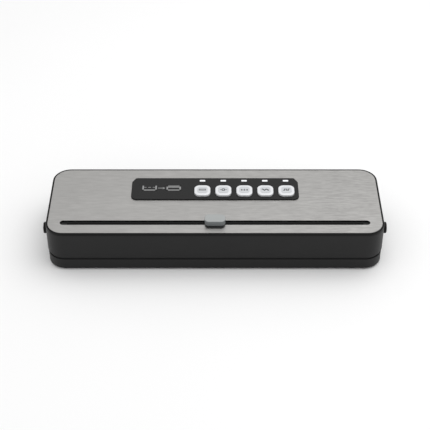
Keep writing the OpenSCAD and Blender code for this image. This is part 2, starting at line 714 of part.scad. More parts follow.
module vacuum_hose() color([0.85, 0.85, 0.82]) translate([0, pump_y, 0]) difference() {
    union() {
        translate([head_x[1] + 0.3, 0, pump_z]) rotate([0, 90, 0])
            cylinder(h = port_x - elbow_r - head_x[1] - 0.3, r = hose_r);
        translate([port_x - elbow_r, 0, pump_z - elbow_r]) rotate([90, 0, 0])
            rotate_extrude(angle = 90) translate([elbow_r, 0]) circle(hose_r);
        translate([port_x, 0, liner_z1 + 0.1]) cylinder(h = pump_z - elbow_r - liner_z1 - 0.1, r = hose_r);
    }
    translate([head_x[1], 0, pump_z]) rotate([0, 90, 0])
        cylinder(h = port_x - elbow_r - head_x[1], r = hose_in_r);
    translate([port_x - elbow_r, 0, pump_z - elbow_r]) rotate([90, 0, 0])
        rotate_extrude(angle = 90) translate([elbow_r, 0]) circle(hose_in_r);
    translate([port_x, 0, liner_z1]) cylinder(h = pump_z - elbow_r - liner_z1, r = hose_in_r);
}

module release_valve() color([0.75, 0.73, 0.68]) {
    block([valve_x - 7, valve_x + 7], [pump_y - 6, pump_y + 6], [liner_z1 + 0.05, liner_z1 + 12]);
    translate([valve_x, pump_y, liner_z1 + 11.5]) cylinder(h = 5, r = 4);
}

module power_board() color([0.1, 0.35, 0.2]) block(power_x, power_y, [power_z, power_z + board_t]);

module transformer() color([0.55, 0.5, 0.4]) {
    z = power_z + board_t;
    block([-164, -122], [-13, 11], [z, z + 20]);
    block([-158, -128], [-14.5, 12.5], [z + 2, z + 18]);
    translate([-121, 22, z]) cylinder(h = 16, r = 5);
    block([-164, -150], [16, 27], [z, z + 10]);
}

module power_inlet() color([0.12, 0.12, 0.12]) difference() {
    block([inlet_x - inlet_out[0] / 2, inlet_x + inlet_out[0] / 2], [body_d / 2 - 18, body_d / 2 - 0.2],
        [inlet_z - inlet_out[1] / 2, inlet_z + inlet_out[1] / 2]);
    translate([inlet_x, body_d / 2 + 1, inlet_z]) rotate([90, 0, 0])
        slot(inlet_pitch + inlet_hole, inlet_hole, 0, inlet_depth + 1);
    for (s = [-1, 1]) translate([inlet_x + s * inlet_pitch / 2, 0, inlet_z]) rotate([-90, 0, 0])
        cylinder(h = body_d, r = 1.25);
}

module inlet_pins() color([0.8, 0.75, 0.55]) for (s = [-1, 1])
    translate([inlet_x + s * inlet_pitch / 2, body_d / 2 - 22, inlet_z]) rotate([-90, 0, 0])
        cylinder(h = 19.5, r = 1.2);

module lid_switches() color([0.12, 0.12, 0.12]) for (s = [-1, 1]) translate([s * 164, -26, 0]) {
    block([-3.2, 3.2], [-10, 10], [liner_z1 + 0.05, liner_z1 + 10]);
    translate([0, 0, base_z1 + 0.3]) cylinder(h = liner_z1 - base_z1 + 0.5, r = 1.4);
}

module wire_harness() color([0.7, 0.15, 0.12]) {
    board_top = power_z + board_t;
    for (s = [-1, 1]) {
        x = inlet_x + s * inlet_pitch / 2;
        wire([[x, body_d / 2 - 22.1, inlet_z], [x, 30.5, inlet_z], [x, 30.5, board_top]]);
    }
    wire([[-116, 29, board_top], [-116, 29, 39.6], [-50, 36, 39.6], [-41, 36, board_z0 - 1.2]]);
    wire([[-116, -2, board_top], [-116, -2, pump_z], [-108, pump_y, pump_z]]);
    wire([[-116, -12, board_top], [-116, -12, 33.6], [-112, -28, 27.6], [-112, -28, liner_z1]]);
}

// ---------- Latches ----------

module release_button() color([0.12, 0.12, 0.12]) translate([0, release_y, release_z]) {
    x1 = body_w / 2 + release_out;
    face = body_w / 2 - lid_wall - 0.1;
    rotate([0, 90, 0]) {
        translate([0, 0, face - 1]) cylinder(h = x1 - face - 0.2, r = release_r);
        translate([0, 0, x1 - 1.2]) cylinder(h = 1.2, r = release_r - 1.2);
        translate([0, 0, x1 - 1.2]) rotate_extrude() translate([release_r - 1.2, 0]) intersection() {
            circle(1.2);
            square(1.2);
        }
        translate([0, 0, face - 1.6]) cylinder(h = 1.6, r = release_r + 0.6);
    }
    block([hook_x0 + hook_t, face - 1], [-3.5, 3.5], [-3.5, 3.5]);
}

module latch_hook() color([0.55, 0.55, 0.56]) translate([0, release_y, 0]) {
    block([hook_x0, hook_x0 + hook_t], [-hook_w / 2, hook_w / 2], [hook_z0, hook_z1]);
    rotate([90, 0, 0]) translate([hook_x0 + hook_t - 0.5, hook_z0, -hook_w / 2]) linear_extrude(hook_w)
        polygon([[0, 0], [0.5, 0], [barb_out + 0.5, barb_h - 0.6], [barb_out + 0.5, barb_h], [0, barb_h]]);
}

module latch_spring() color([0.75, 0.75, 0.76]) translate([0, release_y, release_z])
    coil_spring(spring_seat_x, hook_x0);

module release_button_right() release_button();
module release_button_left() mirror([1, 0, 0]) release_button();
module latch_hook_right() latch_hook();
module latch_hook_left() mirror([1, 0, 0]) latch_hook();
module latch_spring_right() latch_spring();
module latch_spring_left() mirror([1, 0, 0]) latch_spring();

base_tray();
bottom_cover();
rubber_feet();
lower_gasket();
silicone_strip();
hinge_pins();
latch_catches();
base_screws();
lid_housing();
top_bezel();
steel_top_plate();
control_panel();
indicator_lenses();
lid_liner();
upper_gasket();
heater_bar();
heating_element();
ptfe_tape();
cutter_rails();
control_board();
key_switches();
indicator_leds();
board_screws();
pump_motor();
pump_head();
pump_strap();
vacuum_hose();
release_valve();
power_board();
transformer();
power_inlet();
inlet_pins();
lid_switches();
wire_harness();
liner_screws();
cutter_knob();
cutter_shoe();
cutter_carriage();
cutter_blade();
release_button_left();
release_button_right();
latch_hook_left();
latch_hook_right();
latch_spring_left();
latch_spring_right();
seal_key();
dry_key();
moist_key();
gentle_key();
pulse_key();
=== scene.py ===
import json
import math

import bmesh
import bpy
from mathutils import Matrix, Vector


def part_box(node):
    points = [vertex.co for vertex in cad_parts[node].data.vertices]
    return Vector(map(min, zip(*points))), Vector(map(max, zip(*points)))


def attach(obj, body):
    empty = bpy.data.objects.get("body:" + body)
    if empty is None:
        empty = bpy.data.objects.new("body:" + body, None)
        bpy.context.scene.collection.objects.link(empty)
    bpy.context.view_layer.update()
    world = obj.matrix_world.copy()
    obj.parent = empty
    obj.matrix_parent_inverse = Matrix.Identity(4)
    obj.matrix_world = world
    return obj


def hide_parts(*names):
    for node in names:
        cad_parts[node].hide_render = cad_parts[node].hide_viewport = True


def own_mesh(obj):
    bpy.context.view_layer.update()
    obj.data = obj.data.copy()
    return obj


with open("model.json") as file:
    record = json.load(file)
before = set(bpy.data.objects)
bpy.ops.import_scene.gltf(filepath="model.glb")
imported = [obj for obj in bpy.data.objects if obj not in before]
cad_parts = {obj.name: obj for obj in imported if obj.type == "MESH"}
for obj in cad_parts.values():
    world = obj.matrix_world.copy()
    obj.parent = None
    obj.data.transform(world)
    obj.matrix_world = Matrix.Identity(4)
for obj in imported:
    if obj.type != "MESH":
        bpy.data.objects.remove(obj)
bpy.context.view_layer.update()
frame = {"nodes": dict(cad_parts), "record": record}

MM = 0.001
NODES = frame["nodes"]

# ---------- Mesh helpers ----------

LEAST_R = 1e-6
NODE_SHARP = 28
PIECE_SHARP = 35


def rounded_loop(w, d, r, z, centre, steps=12):
    """Points round a rounded rectangle, counter-clockwise, with the same count for every size."""
    r = max(min(r, w / 2, d / 2), LEAST_R)
    points = []
    for quarter in range(4):
        sx = 1 if quarter in (0, 3) else -1
        sy = 1 if quarter < 2 else -1
        for i in range(steps + 1):
            a = math.radians(90 * quarter + 90 * i / steps)
            points.append(Vector((
                centre[0] + sx * (w / 2 - r) + r * math.cos(a),
                centre[1] + sy * (d / 2 - r) + r * math.sin(a),
                z,
            )))
    return points


def square_loop(w, r, z, centre, steps=12):
    """A rounded loop that is as deep as it is wide."""
    return rounded_loop(w, w, r, z, centre, steps)


def loft(bm, loops, tip=None):
    """Quads between loops of equal length. The last loop is closed flat, or up to a tip."""
    rings = [[bm.verts.new(point) for point in loop] for loop in loops]
    n = len(rings[0])
    for low, high in zip(rings, rings[1:]):
        for i in range(n):
            j = (i + 1) % n
            bm.faces.new((low[i], low[j], high[j], high[i]))
    bm.faces.new(list(reversed(rings[0])))
    last = rings[-1]
    if tip is None:
        bm.faces.new(last)
        return
    middle = bm.verts.new(tip)
    for i in range(n):
        bm.faces.new((last[i], last[(i + 1) % n], middle))


def shade(obj, sharp):
    """Smooth shading, sharp where the faces turn by more than some degrees."""
    obj.data.shade_smooth()
    obj.data.set_sharp_from_angle(angle=math.radians(sharp))


def mesh_object(name, bm, material):
    """Turns a bmesh into an object in the scene."""
    mesh = bpy.data.meshes.new(name)
    bm.to_mesh(mesh)
    bm.free()
    mesh.materials.append(material)
    obj = bpy.data.objects.new(name, mesh)
    bpy.context.scene.collection.objects.link(obj)
    return obj


def new_piece(name, bm, material, body, replaces=(), smooth=True):
    """Turns a bmesh into a piece that rides on a body."""
    bmesh.ops.recalc_face_normals(bm, faces=bm.faces)
    piece = mesh_object(name, bm, material)
    if smooth:
        shade(piece, PIECE_SHARP)
    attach(piece, body)
    if replaces:
        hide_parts(*replaces)
    return piece


def box_middle(lo, hi):
    """The middle of a box, seen from above."""
    return (lo.x + hi.x) / 2, (lo.y + hi.y) / 2


# ---------- Shader helpers ----------

EVEN = (1, 1, 1)
mats = {}


def material(name):
    """A new material, kept under its name."""
    mats[name] = bpy.data.materials.new(name)
    mats[name].use_nodes = True
    tree = mats[name].node_tree
    return tree, tree.nodes["Principled BSDF"]


def node(tree, kind, **settings):
    n = tree.nodes.new(kind)
    for key, value in settings.items():
        setattr(n, key, value)
    return n


def object_coords(tree, scale):
    """The piece's own coordinates, stretched by a scale per axis."""
    coords = node(tree, "ShaderNodeTexCoord")
    mapping = node(tree, "ShaderNodeMapping")
    mapping.inputs["Scale"].default_value = scale
    tree.links.new(coords.outputs["Object"], mapping.inputs["Vector"])
    return mapping.outputs["Vector"]


def split_xyz(tree, vector):
    """The X, Y and Z of a vector as outputs."""
    split = node(tree, "ShaderNodeSeparateXYZ")
    tree.links.new(vector, split.inputs["Vector"])
    return split.outputs


def noise(tree, vector, scale, detail=3.0, rough=0.5):
    n = node(tree, "ShaderNodeTexNoise")
    n.inputs["Scale"].default_value = scale
    n.inputs["Detail"].default_value = detail
    n.inputs["Roughness"].default_value = rough
    tree.links.new(vector, n.inputs["Vector"])
    return n.outputs["Fac"]


def ramp(tree, fac, stops):
    """A colour ramp: stops are (position, grey or colour)."""
    r = node(tree, "ShaderNodeValToRGB")
    elements = r.color_ramp.elements
    for i, (position, value) in enumerate(stops):
        colour = (value, value, value, 1) if isinstance(value, (int, float)) else (*value, 1)
        element = elements[i] if i < 2 else elements.new(position)
        element.position = position
        element.color = colour
    tree.links.new(fac, r.inputs["Fac"])
    return r.outputs["Color"]


def feed(tree, socket, value):
    """Gives a socket a number, or links it to another node's output."""
    if isinstance(value, (int, float)):
        socket.default_value = value
    else:
        tree.links.new(value, socket)


def calculate(tree, operation, *values, clamp=False):
    """A maths node. Each value is a number or another node's output."""
    n = node(tree, "ShaderNodeMath", operation=operation, use_clamp=clamp)
    for socket, value in zip(n.inputs, values):
        feed(tree, socket, value)
    return n.outputs[0]


def multiply_colours(tree, first, second, share):
    """The first colour, multiplied by the second to some share."""
    mix = node(tree, "ShaderNodeMixRGB", blend_type="MULTIPLY")
    feed(tree, mix.inputs["Fac"], share)
    feed(tree, mix.inputs["Color1"], first)
    feed(tree, mix.inputs["Color2"], second)
    return mix.outputs["Color"]


def bump(tree, height, shader, strength, distance):
    """Tilts the shader's normal by a texture taken as a height."""
    b = node(tree, "ShaderNodeBump")
    b.inputs["Strength"].default_value = strength
    b.inputs["Distance"].default_value = distance
    tree.links.new(height, b.inputs["Height"])
    tree.links.new(b.outputs["Normal"], shader.inputs["Normal"])


def mottled(colour, mottle):
    """A darker and a lighter shade of a colour."""
    dark = tuple(c * (1 - mottle) for c in colour)
    light = tuple(min(1.0, c * (1 + mottle)) for c in colour)
    return dark, light


# ---------- Kinds of material ----------

SURFACE_BUMP = 0.35
PLASTIC_CLOUD = 45.0
SIDE_SHADED_CLOUD = 40.0
COAT_ROUGH = 0.2
SIDE_SHADED_GRAIN = 3000.0
SIDE_SHADED_DEPTH = 0.00002
METAL_BUMP = 0.2
METAL_DEPTH = 0.00001
FOAM_CELLS = 900.0
FOAM_BUMP = 0.5
FOAM_DEPTH = 0.0004
PIT_SHADE = 0.5


def plastic(name, colour, rough=(0.38, 0.48), grain=2200.0, depth=0.00003, specular=0.5,
            mottle=0.06, coat=0.0):
    """Moulded plastic: spark-eroded grain, slow changes of gloss, a little mottle in the colour."""
    tree, shader = material(name)
    plain = object_coords(tree, EVEN)
    fine = noise(tree, plain, grain, detail=2.0)
    slow = noise(tree, plain, PLASTIC_CLOUD, detail=4.0, rough=0.6)
    dark, light = mottled(colour, mottle)
    feed(tree, shader.inputs["Base Color"], ramp(tree, slow, [(0.3, dark), (0.7, light)]))
    feed(tree, shader.inputs["Roughness"], ramp(tree, slow, [(0.25, rough[0]), (0.75, rough[1])]))
    bump(tree, fine, shader, SURFACE_BUMP, depth)
    shader.inputs["Specular IOR Level"].default_value = specular
    shader.inputs["Coat Weight"].default_value = coat
    shader.inputs["Coat Roughness"].default_value = COAT_ROUGH


def side_shaded_plastic(name, colour, shaded_side_colour, faces_up=(0.9, 0.99), specular=0.25):
    """A moulding with one colour on the faces that look up and a darker one on its sides. The darker
    sides are painted shade.
    """
    tree, shader = material(name)
    plain = object_coords(tree, EVEN)
    grain = noise(tree, plain, SIDE_SHADED_GRAIN, detail=2.0)
    slow = noise(tree, plain, SIDE_SHADED_CLOUD)
    upward = split_xyz(tree, node(tree, "ShaderNodeTexCoord").outputs["Normal"])["Z"]
    # Painted shade: faces that turn away from straight up take the darker side colour.
    painted_side_shade = ramp(tree, upward, [(faces_up[0], shaded_side_colour), (faces_up[1], colour)])
    wear = ramp(tree, slow, [(0.3, 0.94), (0.7, 1.0)])
    feed(tree, shader.inputs["Base Color"], multiply_colours(tree, painted_side_shade, wear, 1.0))
    feed(tree, shader.inputs["Roughness"], ramp(tree, slow, [(0.3, 0.42), (0.7, 0.5)]))
    bump(tree, grain, shader, SURFACE_BUMP, SIDE_SHADED_DEPTH)
    shader.inputs["Specular IOR Level"].default_value = specular


def metal(name, colour, rough=(0.28, 0.4), stretch=EVEN, scale=400.0, anisotropic=0.0, mottle=0.05):
    """Metal with an even grain, or one drawn out along the axes that are stretched least."""
    tree, shader = material(name)
    grain = noise(tree, object_coords(tree, stretch), scale, detail=5.0, rough=0.6)
    dark, light = mottled(colour, mottle)
    feed(tree, shader.inputs["Base Color"], ramp(tree, grain, [(0.3, dark), (0.7, light)]))
    feed(tree, shader.inputs["Roughness"], ramp(tree, grain, [(0.3, rough[0]), (0.7, rough[1])]))
    bump(tree, grain, shader, METAL_BUMP, METAL_DEPTH)
    shader.inputs["Metallic"].default_value = 1.0
    shader.inputs["Anisotropic"].default_value = anisotropic


def foam(name, colour):
    """Closed-cell foam: small pits over a matt skin, with the pits painted darker as painted shade in
    their hollows.
    """
    tree, shader = material(name)
    cells = node(tree, "ShaderNodeTexVoronoi")
    cells.inputs["Scale"].default_value = FOAM_CELLS
    tree.links.new(object_coords(tree, EVEN), cells.inputs["Vector"])
    pits = cells.outputs["Distance"]
    # Painted shade: the pits take a darker copy of the colour.
    dark = tuple(c * PIT_SHADE for c in colour)
    feed(tree, shader.inputs["Base Color"], ramp(tree, pits, [(0.1, dark), (0.6, colour)]))
    bump(tree, pits, shader, FOAM_BUMP, FOAM_DEPTH)
    shader.inputs["Roughness"].default_value = 0.85
    shader.inputs["Specular IOR Level"].default_value = 0.25


# Noise over the steel: cells a metre along X, Y and Z
STEEL_HAIR = (30, 1600, 1600)
STEEL_STREAK = (85, 420, 420)
STEEL_CLOUD = (9, 22, 22)
STEEL_STROKE = (80, 430, 430)
STEEL_DARK = (0.375, 0.369, 0.36)
STEEL_LIGHT = (0.46, 0.454, 0.443)
# How fast the strokes' share grows along X, and its share in the middle: a painted sheen towards the
# right-hand end.
SHEEN_STROKE_GROWTH = 6.0
SHEEN_STROKE_MIDDLE = 0.15
GRAIN_TO_GLOSS = 0.7
STEEL_BUMP = 0.3
STEEL_DEPTH = 0.00004


def steel_colour(tree, grain):
    """The sheet's colour, with coarser strokes that grow stronger towards the right-hand end. This growth
    is a painted sheen, standing in for the highlight on that end.
    """
    tint = ramp(tree, grain, [(0.32, STEEL_DARK), (0.68, STEEL_LIGHT)])
    coarse = noise(tree, object_coords(tree, STEEL_STROKE), 1.0, detail=2.0, rough=0.6)
    strokes = ramp(tree, coarse, [(0.36, 0.84), (0.62, 1.0)])
    # Painted sheen: the strokes' share rises along X.
    along = split_xyz(tree, object_coords(tree, EVEN))["X"]
    share = calculate(tree, "MULTIPLY_ADD", along, SHEEN_STROKE_GROWTH, SHEEN_STROKE_MIDDLE, clamp=True)
    return multiply_colours(tree, tint, strokes, share)


def steel_gloss(tree, grain):
    """The sheet's roughness: the grain and slow clouds over it."""
    cloud = noise(tree, object_coords(tree, STEEL_CLOUD), 1.0, detail=2.0)
    clouds = ramp(tree, cloud, [(0.3, 0.0), (0.7, 0.2)])
    blend = calculate(tree, "MULTIPLY_ADD", grain, GRAIN_TO_GLOSS, clouds)
    return ramp(tree, blend, [(0.2, 0.3), (0.65, 0.46)])


def brushed_steel(name):
    """Stainless sheet, brushed along X: short overlapping scratches of several lengths."""
    tree, shader = material(name)
    hair = noise(tree, object_coords(tree, STEEL_HAIR), 1.0, detail=4.0, rough=0.55)
    streak = noise(tree, object_coords(tree, STEEL_STREAK), 1.0)
    grain = calculate(tree, "MULTIPLY", calculate(tree, "ADD", hair, streak), 0.5)
    feed(tree, shader.inputs["Base Color"], steel_colour(tree, grain))
    feed(tree, shader.inputs["Roughness"], steel_gloss(tree, grain))
    bump(tree, grain, shader, STEEL_BUMP, STEEL_DEPTH)
    shader.inputs["Metallic"].default_value = 1.0
    shader.inputs["Anisotropic"].default_value = 0.6
    shader.inputs["Anisotropic Rotation"].default_value = 0.25
    brushing = node(tree, "ShaderNodeCombineXYZ")
    brushing.inputs["X"].default_value = 1.0
    tree.links.new(brushing.outputs["Vector"], shader.inputs["Tangent"])


# ---------- Materials ----------

# Outside
plastic("black_plastic", (0.005, 0.005, 0.0051), rough=(0.42, 0.52), specular=0.3)
plastic("bezel_plastic", (0.004, 0.004, 0.0041), rough=(0.32, 0.4), grain=2600.0, depth=0.00002,
        specular=0.15)
brushed_steel("brushed_steel")
# The panel's darker sides are a painted shadow, for the shadow gap between the panel and the steel.
side_shaded_plastic("panel_plastic", (0.0085, 0.0085, 0.0086), (0.002, 0.002, 0.002))
plastic("lens_white", (0.9, 0.91, 0.93), rough=(0.25, 0.32), grain=3000.0, depth=0.00001)
# The caps' plastic is whiter than the faces': the rims' real gloss is in the coat, and their extra white
# is a painted highlight.
plastic("key_white", (0.71, 0.72, 0.74), rough=(0.2, 0.28), grain=3000.0, depth=0.00001,
        mottle=0.01, coat=0.6)
plastic("key_face", (0.55, 0.565, 0.585), rough=(0.3, 0.38), grain=3000.0, depth=0.00001, mottle=0.01)
plastic("mark_grey", (0.13, 0.13, 0.135), rough=(0.45, 0.55), grain=2500.0, depth=0.00001)
plastic("mark_panel", (0.26, 0.26, 0.26), rough=(0.45, 0.55), grain=2500.0, depth=0.00001)
# The knob's darker sides and front are painted shade; only its top has the lighter grey.
side_shaded_plastic("knob_grey", (0.355, 0.37, 0.368), (0.185, 0.197, 0.2), faces_up=(0.45, 0.85), specular=0.35)
plastic("button_black", (0.003, 0.003, 0.0031), rough=(0.32, 0.4), grain=2600.0, specular=0.15)
plastic("foot_rubber", (0.012, 0.012, 0.012), rough=(0.65, 0.75), grain=1200.0, depth=0.00006)
metal("pin_brass", (0.72, 0.55, 0.24), rough=(0.2, 0.3), scale=900.0)
# Chamber, sealing and cutting
foam("gasket_foam", (0.03, 0.03, 0.031))
plastic("silicone_red", (0.4, 0.075, 0.05), rough=(0.5, 0.6), grain=1500.0)
metal("heater_alloy", (0.6, 0.57, 0.53), rough=(0.3, 0.42), stretch=(0.1, 3, 3), scale=500.0)
plastic("ptfe_brown", (0.28, 0.17, 0.085), rough=(0.35, 0.5), grain=800.0, depth=0.00008, mottle=0.18)
plastic("phenolic_brown", (0.2, 0.1, 0.045), rough=(0.45, 0.6), grain=900.0, mottle=0.2)
metal("blade_steel", (0.7, 0.7, 0.72), rough=(0.15, 0.28), stretch=(1, 1, 12), scale=250.0,
      anisotropic=0.4)
metal("zinc_steel", (0.6, 0.6, 0.59), rough=(0.3, 0.45), scale=700.0)
metal("spring_steel", (0.55, 0.55, 0.56), rough=(0.2, 0.3), scale=900.0)
# Pump and electrics
plastic("inner_black", (0.015, 0.015, 0.015), rough=(0.45, 0.55), grain=1800.0)
plastic("board_green", (0.02, 0.11, 0.045), rough=(0.3, 0.4), grain=700.0, mottle=0.15)
plastic("led_body", (0.75, 0.73, 0.55), rough=(0.3, 0.4), grain=1500.0)
metal("motor_can", (0.55, 0.55, 0.54), rough=(0.3, 0.42), stretch=(0.2, 4, 4), scale=300.0)
plastic("hose_silicone", (0.62, 0.62, 0.57), rough=(0.4, 0.5), grain=900.0)
plastic("valve_body", (0.55, 0.52, 0.45), rough=(0.4, 0.5), grain=1500.0)
metal("transformer_core", (0.22, 0.17, 0.1), rough=(0.45, 0.6), stretch=(1, 1, 30), scale=90.0,
      mottle=0.3)
plastic("wire_red", (0.42, 0.02, 0.015), rough=(0.35, 0.45), grain=1500.0)

slots = {part["node"]: part["material_slot"] for part in frame["record"]["subparts"]}
for name, obj in NODES.items():
    obj.data.materials.clear()
    obj.data.materials.append(mats[slots[name]])
    shade(obj, NODE_SHARP)

# ---------- Keys ----------

KEYS = ["seal_key", "dry_key", "moist_key", "gentle_key", "pulse_key"]
KEY_R = 6.0 * MM
# The flange that holds the key under the panel, and the stem that presses its switch
FLANGE_OUT = 0.8 * MM
FLANGE_TOP = 1.5 * MM
STEM_LEN = 1.6 * MM
STEM_R = 2.0 * MM
STEM_STEPS = 6
STEM_IN = 0.1 * MM
# The skirt stands above the panel. The rim slopes in from it by the bevel
PANEL_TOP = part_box("control_panel")[1].z
SKIRT = 1.9 * MM
SKIRT_EDGE = 0.3 * MM
BEVEL = 3.3 * MM
RIM_STEPS = 10
RIM_IN_POWER = 1.35
RIM_UP_POWER = 0.9
RIM_R_SHARE = 0.85
# The groove between the rim and the face: insets and depths, in millimetres
GROOVE = ((0.15, 0.05), (0.25, 0.3))
# The face, which stands above the rim and is dished
FACE_RISE = 0.3 * MM
FACE_GAP = 0.25 * MM
FACE_FOOT = 0.25 * MM
FACE_EDGE = 0.3 * MM
FACE_EDGE_STEPS = 5
FACE_DISH = 0.12 * MM
DISH_SHARES = (0.85, 0.75, 0.6, 0.4, 0.2)


def key_cap(name):
    """The white cap: a flange, an upright skirt, a broad sloping rim, and the stem below."""
    lo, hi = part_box(name)
    centre = box_middle(lo, hi)
    flange_w, flange_r, flange_z = hi.x - lo.x, KEY_R + FLANGE_OUT, lo.z + STEM_LEN
    cap_w = flange_w - 2 * FLANGE_OUT
    skirt_z, rim_z = PANEL_TOP + SKIRT, hi.z - FACE_RISE
    loops = [
        square_loop(flange_w, flange_r, flange_z, centre),
        square_loop(flange_w, flange_r, flange_z + FLANGE_TOP, centre),
        square_loop(cap_w, KEY_R, flange_z + FLANGE_TOP, centre),
        square_loop(cap_w, KEY_R, skirt_z - SKIRT_EDGE, centre),
    ]
    for i in range(RIM_STEPS + 1):
        share = i / RIM_STEPS
        inset = BEVEL * share ** RIM_IN_POWER
        rise = (rim_z - skirt_z) * math.sin(math.radians(90 * share)) ** RIM_UP_POWER
        loops.append(square_loop(cap_w - 2 * inset, KEY_R - inset * RIM_R_SHARE, skirt_z + rise, centre))
    for inset, depth in GROOVE:
        w = cap_w - 2 * BEVEL - 2 * inset * MM
        r = KEY_R - BEVEL * RIM_R_SHARE - inset * MM
        loops.append(square_loop(w, r, rim_z - depth * MM, centre))
    bm = bmesh.new()
    loft(bm, loops)
    loft(bm, [square_loop(2 * STEM_R, STEM_R, z, centre, STEM_STEPS) for z in (lo.z, flange_z + STEM_IN)])
    new_piece(name + "_cap", bm, mats["key_white"], name + "_body", [name])


def key_face(name):
    """The satin face set into the cap, with a rounded edge and a shallow dish. The face and the cap are
    two shades of one white plastic, and the cap's lighter shade is a painted highlight on its rim.
    """
    lo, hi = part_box(name)
    centre = box_middle(lo, hi)
    w = hi.x - lo.x - 2 * FLANGE_OUT - 2 * BEVEL
    r = KEY_R - BEVEL * RIM_R_SHARE
    loops = [square_loop(w - 2 * FACE_GAP, r - FACE_GAP, hi.z - FACE_RISE - FACE_FOOT, centre)]
    for i in range(FACE_EDGE_STEPS + 1):
        a = math.radians(90 * i / FACE_EDGE_STEPS)
        inset = FACE_GAP + FACE_EDGE * (1 - math.cos(a))
        z = hi.z - FACE_EDGE + FACE_EDGE * math.sin(a)
        loops.append(square_loop(w - 2 * inset, r - inset, z, centre))
    for share in DISH_SHARES:
        sink = FACE_DISH * (1 - share ** 2)
        loops.append(square_loop(w * share, r * share, hi.z - sink, centre))
    bm = bmesh.new()
    loft(bm, loops, tip=(*centre, hi.z - FACE_DISH))
    new_piece(name + "_face", bm, mats["key_face"], name + "_body")


# ---------- Generic signs, drawn in millimetres about a middle ----------

MARK_SINK = 0.02 * MM
MARK_THICK = 0.06 * MM
SIGN_THICK = 0.03 * MM
LINE = 1.15
RING_LINE = 0.95
DROP_HEAD = 2.1
DROP_STEPS = 16


def bar(cx, cy, w, h):
    """The outline of a bar, from its middle and its size."""
    left, right, low, high = cx - w / 2, cx + w / 2, cy - h / 2, cy + h / 2
    return [(left, low), (right, low), (right, high), (left, high)]


def drop(cx, cy, r):
    """The outline of a water drop: a round foot and a pointed head."""
    points = [(cx, cy + DROP_HEAD * r)]
    for i in range(DROP_STEPS + 1):
        a = math.radians(150 + 240 * i / DROP_STEPS)
        points.append((cx + r * math.cos(a), cy + r * math.sin(a)))
    return points


def stroke(points, width):
    """A broken line as a list of outlines, one for each segment, each with square ends."""
    shapes = []
    for (x0, y0), (x1, y1) in zip(points, points[1:]):
        half = width / 2 / math.hypot(x1 - x0, y1 - y0)
        ex, ey = (x1 - x0) * half, (y1 - y0) * half
        shapes.append([(x0 - ex + ey, y0 - ey - ex), (x1 + ex + ey, y1 + ey - ex),
                       (x1 + ex - ey, y1 + ey + ex), (x0 - ex - ey, y0 - ey + ex)])
    return shapes


def circle(r, steps=12):
    """Points round a circle, with the first one again at the end."""
    turns = [math.radians(360 * i / steps) for i in range(steps + 1)]
    return [(r * math.cos(a), r * math.sin(a)) for a in turns]


def wave(half, rise, turn, steps=22):
    """Points along a sine wave: half its length, its height, and its degrees a millimetre."""
    along = [half * (2 * i / steps - 1) for i in range(steps + 1)]
    return [(x, rise * math.sin(math.radians(x * turn))) for x in along]


def printed(name, shapes, centre, z, thick, ink, body):
    """Shapes as a thin print that stands just above the face under it."""
    bm = bmesh.new()
    for shape in shapes:
        loft(bm, [[Vector((centre[0] + x * MM, centre[1] + y * MM, h)) for x, y in shape]
                  for h in (z - MARK_SINK, z + thick)])
    new_piece(name, bm, mats[ink], body, smooth=False)


MARKS = {
    # Two lines pressed together
    "seal_key": [bar(0, 1.0, 8.4, LINE), bar(0, -1.0, 8.4, LINE), bar(-3.7, 0, 1.0, 1.2),
                 bar(3.7, 0, 1.0, 1.2)],
    # An empty circle between two dashes
    "dry_key": stroke(circle(1.7), RING_LINE) + [bar(-3.6, 0, 1.7, LINE), bar(3.6, 0, 1.7, LINE)],
    # Three drops
    "moist_key": [drop(x, -0.7, 1.15) for x in (-3.1, 0, 3.1)],
    # A soft wave
    "gentle_key": stroke(wave(4.4, 1.1, 82), LINE),
    # A square pulse
    "pulse_key": stroke([(-4.2, -1.2), (-2.1, -1.2), (-2.1, 1.2), (0.2, 1.2), (0.2, -1.2),
                         (2.2, -1.2), (2.2, 1.2), (4.2, 1.2)], LINE),
}

for key in KEYS:
    key_cap(key)
    key_face(key)
    lo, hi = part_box(key)
    printed(key + "_mark", MARKS[key], box_middle(lo, hi), hi.z - FACE_DISH, MARK_THICK, "mark_grey",
            key + "_body")

SIGN_AT = (-62.0 * MM, 21.0 * MM)
BAG_STEP = 14.0
BAG_W = 15.0
BAG_H = 7.2
BAG_LINE = 1.7
SEAL_UP = 1.4
SEAL_W = 13.0
SEAL_H = 1.1
# The dashes of the line that isn't sealed yet: places and widths
DASHES = ((0.0, 3.0), (-5.0, 2.6), (5.0, 2.6))
DASH_H = 0.8
ARROW_SHAFT = (-3.6, 1.6)
ARROW_LINE = 1.0
ARROW_HEAD = (1.4, 4.2)
ARROW_HALF = 1.9


def bag(x, sealed):
    """A bag: open with a dashed line across it, or closed with a full one."""
    left, right, low, high = x - BAG_W / 2, x + BAG_W / 2, -BAG_H / 2, BAG_H / 2
    shapes = stroke([(left, high), (left, low), (right, low), (right, high)], BAG_LINE)
    if sealed:
        shapes += stroke([(left, high), (right, high)], BAG_LINE)
        shapes.append(bar(x, SEAL_UP, SEAL_W, SEAL_H))
    else:
        shapes += [bar(x + dash, SEAL_UP, w, DASH_H) for dash, w in DASHES]
    return shapes


def arrow():
    """An arrow that points to the right."""
    back, tip = ARROW_HEAD
    head = [(back, -ARROW_HALF), (tip, 0), (back, ARROW_HALF)]
    return stroke([(x, 0) for x in ARROW_SHAFT], ARROW_LINE) + [head]


printed("panel_sign", bag(-BAG_STEP, False) + bag(BAG_STEP, True) + arrow(), SIGN_AT, PANEL_TOP,
        SIGN_THICK, "mark_panel", "lid")

# ---------- Cutter knob ----------

KNOB_R = 5.0 * MM
FOOT_EDGE = 0.6 * MM
FOOT_STEPS = 7
TOP_EDGE = 0.9 * MM
TOP_STEPS = 8
